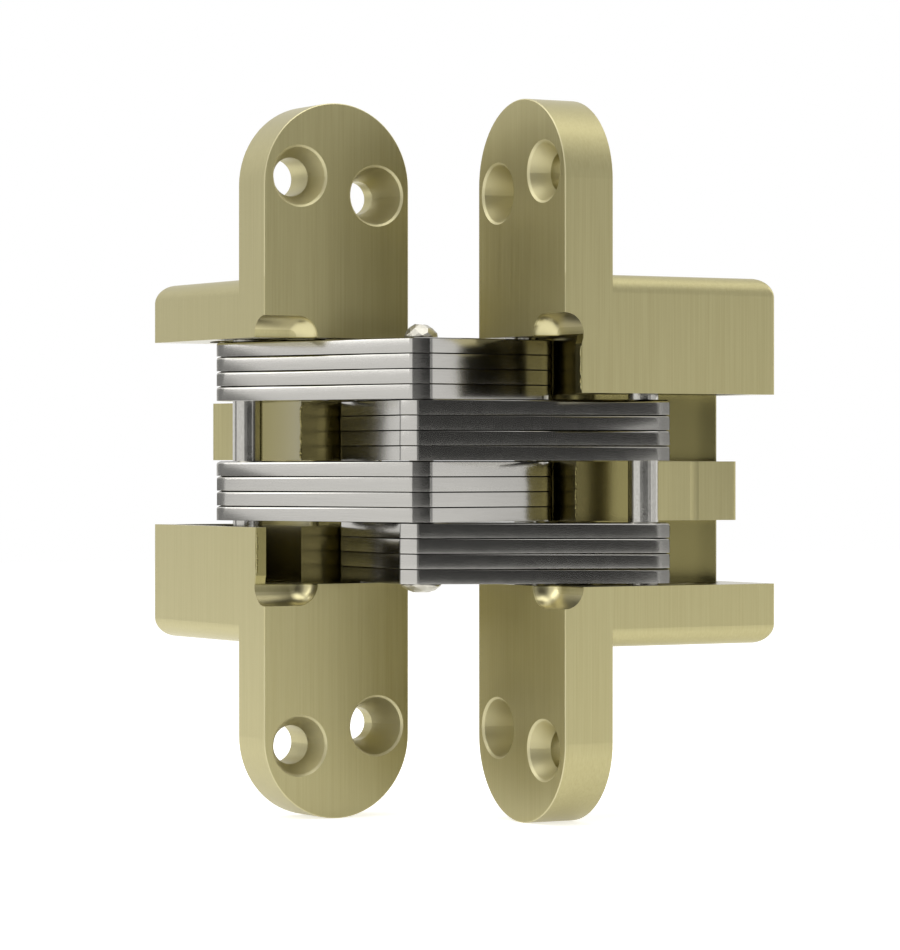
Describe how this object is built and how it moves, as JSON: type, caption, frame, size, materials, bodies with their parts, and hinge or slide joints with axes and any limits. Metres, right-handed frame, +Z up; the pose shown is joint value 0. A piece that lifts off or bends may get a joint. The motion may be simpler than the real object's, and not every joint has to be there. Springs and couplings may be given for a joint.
{
  "type": "concealed door hinge",
  "caption": "Concealed door hinge with two mortised cast leaves joined by crossed, interleaved steel links that hide when the door is shut.",
  "frame": {"origin": "midway between the two outer screw holes of the frame leaf, in the plane of its plate's back, which seats in the mortise", "axes": "+Z up along the hinge's length, +Y into the frame leaf's mortise, +X across the frame leaf's face towards the door leaf's mortise"},
  "size_m": [0.0763, 0.0763, 0.1174],
  "materials": {
    "leaf_casting": "brushed satin plating on a zinc die casting",
    "link_steel": "stamped steel with sheared edges",
    "pin_steel": "ground steel",
    "rivet_steel": "peened steel"
  },
  "bodies": {
    "frame_side": {"frame_leaf": "leaf_casting", "frame_pivot_pin": "pin_steel"},
    "link_b": {"link_b_blade_1": "link_steel", "link_b_blade_2": "link_steel", "link_b_blade_3": "link_steel", "link_b_blade_4": "link_steel", "link_b_blade_5": "link_steel", "link_b_blade_6": "link_steel", "link_b_blade_7": "link_steel", "link_b_blade_8": "link_steel", "link_b_slider_pin": "pin_steel", "centre_rivet": "rivet_steel"},
    "link_a": {"link_a_blade_1": "link_steel", "link_a_blade_2": "link_steel", "link_a_blade_3": "link_steel", "link_a_blade_4": "link_steel", "link_a_blade_5": "link_steel", "link_a_blade_6": "link_steel", "link_a_blade_7": "link_steel", "link_a_blade_8": "link_steel", "link_a_slider_pin": "pin_steel"},
    "door_side": {"door_leaf": "leaf_casting", "door_pivot_pin": "pin_steel"}
  },
  "joints": [
    {"name": "frame_pivot", "type": "hinge", "parent": "frame_side", "child": "link_b", "pos_m": [0.016, -0.0026, 0], "axis": [0, 0, 1], "range_deg": [-58.06, 58.06]},
    {"name": "centre_pivot", "type": "hinge", "parent": "link_b", "child": "link_a", "pos_m": [0.01458, -0.02342, 0], "axis": [0, 0, 1], "range_deg": [-26.13, 26.13]},
    {"name": "door_pivot", "type": "hinge", "parent": "link_a", "child": "door_side", "pos_m": [0.0354, -0.022, 0], "axis": [0, 0, 1], "range_deg": [-58.07, 58.07]}
  ],
  "couplings": [
    {"joint": "centre_pivot", "follows": "frame_pivot", "ratio": -0.45},
    {"joint": "door_pivot", "follows": "frame_pivot", "ratio": 1}
  ]
}
